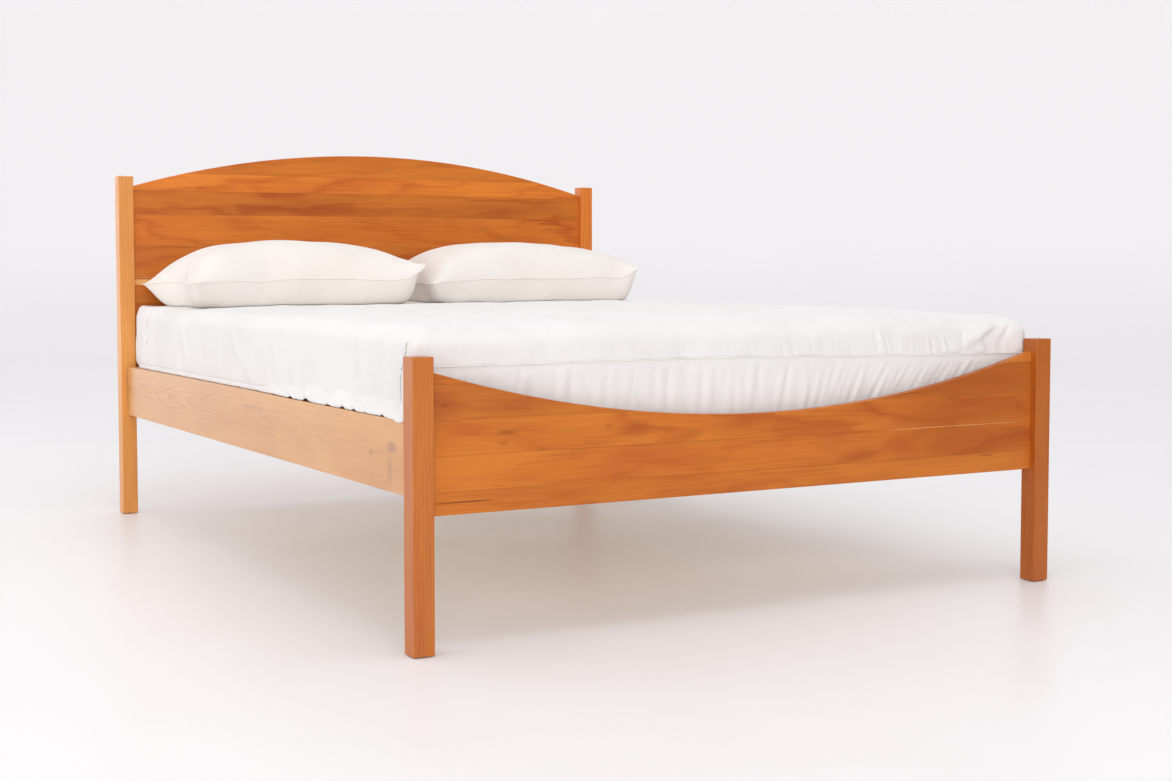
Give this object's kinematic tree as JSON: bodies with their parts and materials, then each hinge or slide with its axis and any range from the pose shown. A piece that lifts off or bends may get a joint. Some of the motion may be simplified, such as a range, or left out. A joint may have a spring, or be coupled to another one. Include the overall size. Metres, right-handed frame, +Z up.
{
  "type": "sleigh bed",
  "caption": "Cherry bed with an arched flat headboard, a footboard dipped in an arc, square posts, slats, a covered mattress and two pillows.",
  "frame": {"origin": "on the floor, under the middle of the bed", "axes": "+Z up; +Y along the bed from the footboard to the headboard; +X across the bed, to the right of someone standing at the foot and facing the headboard"},
  "size_m": [1.638, 2.16, 1.098],
  "materials": {
    "post_wood": "satin",
    "headboard_wood": "satin",
    "footboard_wood": "satin",
    "rail_wood": "satin",
    "slat_wood": "matte",
    "fastener_steel": "satin",
    "glide_nylon": "matte",
    "mattress_ticking": "matte",
    "cover_cotton": "matte",
    "pillow_cotton": "matte"
  },
  "bodies": {
    "frame": {"beam_saddle_foot": "fastener_steel", "beam_saddle_head": "fastener_steel", "centre_beam": "slat_wood", "footboard_board_1": "footboard_wood", "footboard_board_2": "footboard_wood", "footboard_board_3": "footboard_wood", "footboard_board_4_left": "footboard_wood", "footboard_board_4_right": "footboard_wood", "footboard_board_5_left": "footboard_wood", "footboard_board_5_right": "footboard_wood", "glide_foot_left": "glide_nylon", "glide_foot_right": "glide_nylon", "glide_head_left": "glide_nylon", "glide_head_right": "glide_nylon", "headboard_board_1": "headboard_wood", "headboard_board_2": "headboard_wood", "headboard_board_3": "headboard_wood", "headboard_board_4": "headboard_wood", "headboard_board_5": "headboard_wood", "headboard_board_6": "headboard_wood", "headboard_board_7": "headboard_wood", "headboard_board_8": "headboard_wood", "headboard_board_9": "headboard_wood", "ledger_left": "slat_wood", "ledger_right": "slat_wood", "post_foot_left": "post_wood", "post_foot_right": "post_wood", "post_head_left": "post_wood", "post_head_right": "post_wood", "post_slot_plate_foot_left": "fastener_steel", "post_slot_plate_foot_right": "fastener_steel", "post_slot_plate_head_left": "fastener_steel", "post_slot_plate_head_right": "fastener_steel", "rail_hook_plate_foot_left": "fastener_steel", "rail_hook_plate_foot_right": "fastener_steel", "rail_hook_plate_head_left": "fastener_steel", "rail_hook_plate_head_right": "fastener_steel", "side_rail_left": "rail_wood", "side_rail_right": "rail_wood", "slat_01": "slat_wood", "slat_02": "slat_wood", "slat_03": "slat_wood", "slat_04": "slat_wood", "slat_05": "slat_wood", "slat_06": "slat_wood", "slat_07": "slat_wood", "slat_08": "slat_wood", "slat_09": "slat_wood", "slat_10": "slat_wood", "slat_11": "slat_wood", "slat_12": "slat_wood", "slat_13": "slat_wood", "slat_14": "slat_wood"},
    "mattress": {"mattress": "mattress_ticking", "mattress_cover": "cover_cotton"},
    "pillow_left": {"pillow_left": "pillow_cotton"},
    "pillow_right": {"pillow_right": "pillow_cotton"}
  },
  "joints": [
    {"name": "mattress_lift", "type": "slide", "parent": "frame", "child": "mattress", "axis": [0, 0, 1], "range_m": [0, 0.25]},
    {"name": "pillow_left_lift", "type": "slide", "parent": "mattress", "child": "pillow_left", "axis": [0, 0, 1], "range_m": [0, 0.3]},
    {"name": "pillow_right_lift", "type": "slide", "parent": "mattress", "child": "pillow_right", "axis": [0, 0, 1], "range_m": [0, 0.3]}
  ]
}
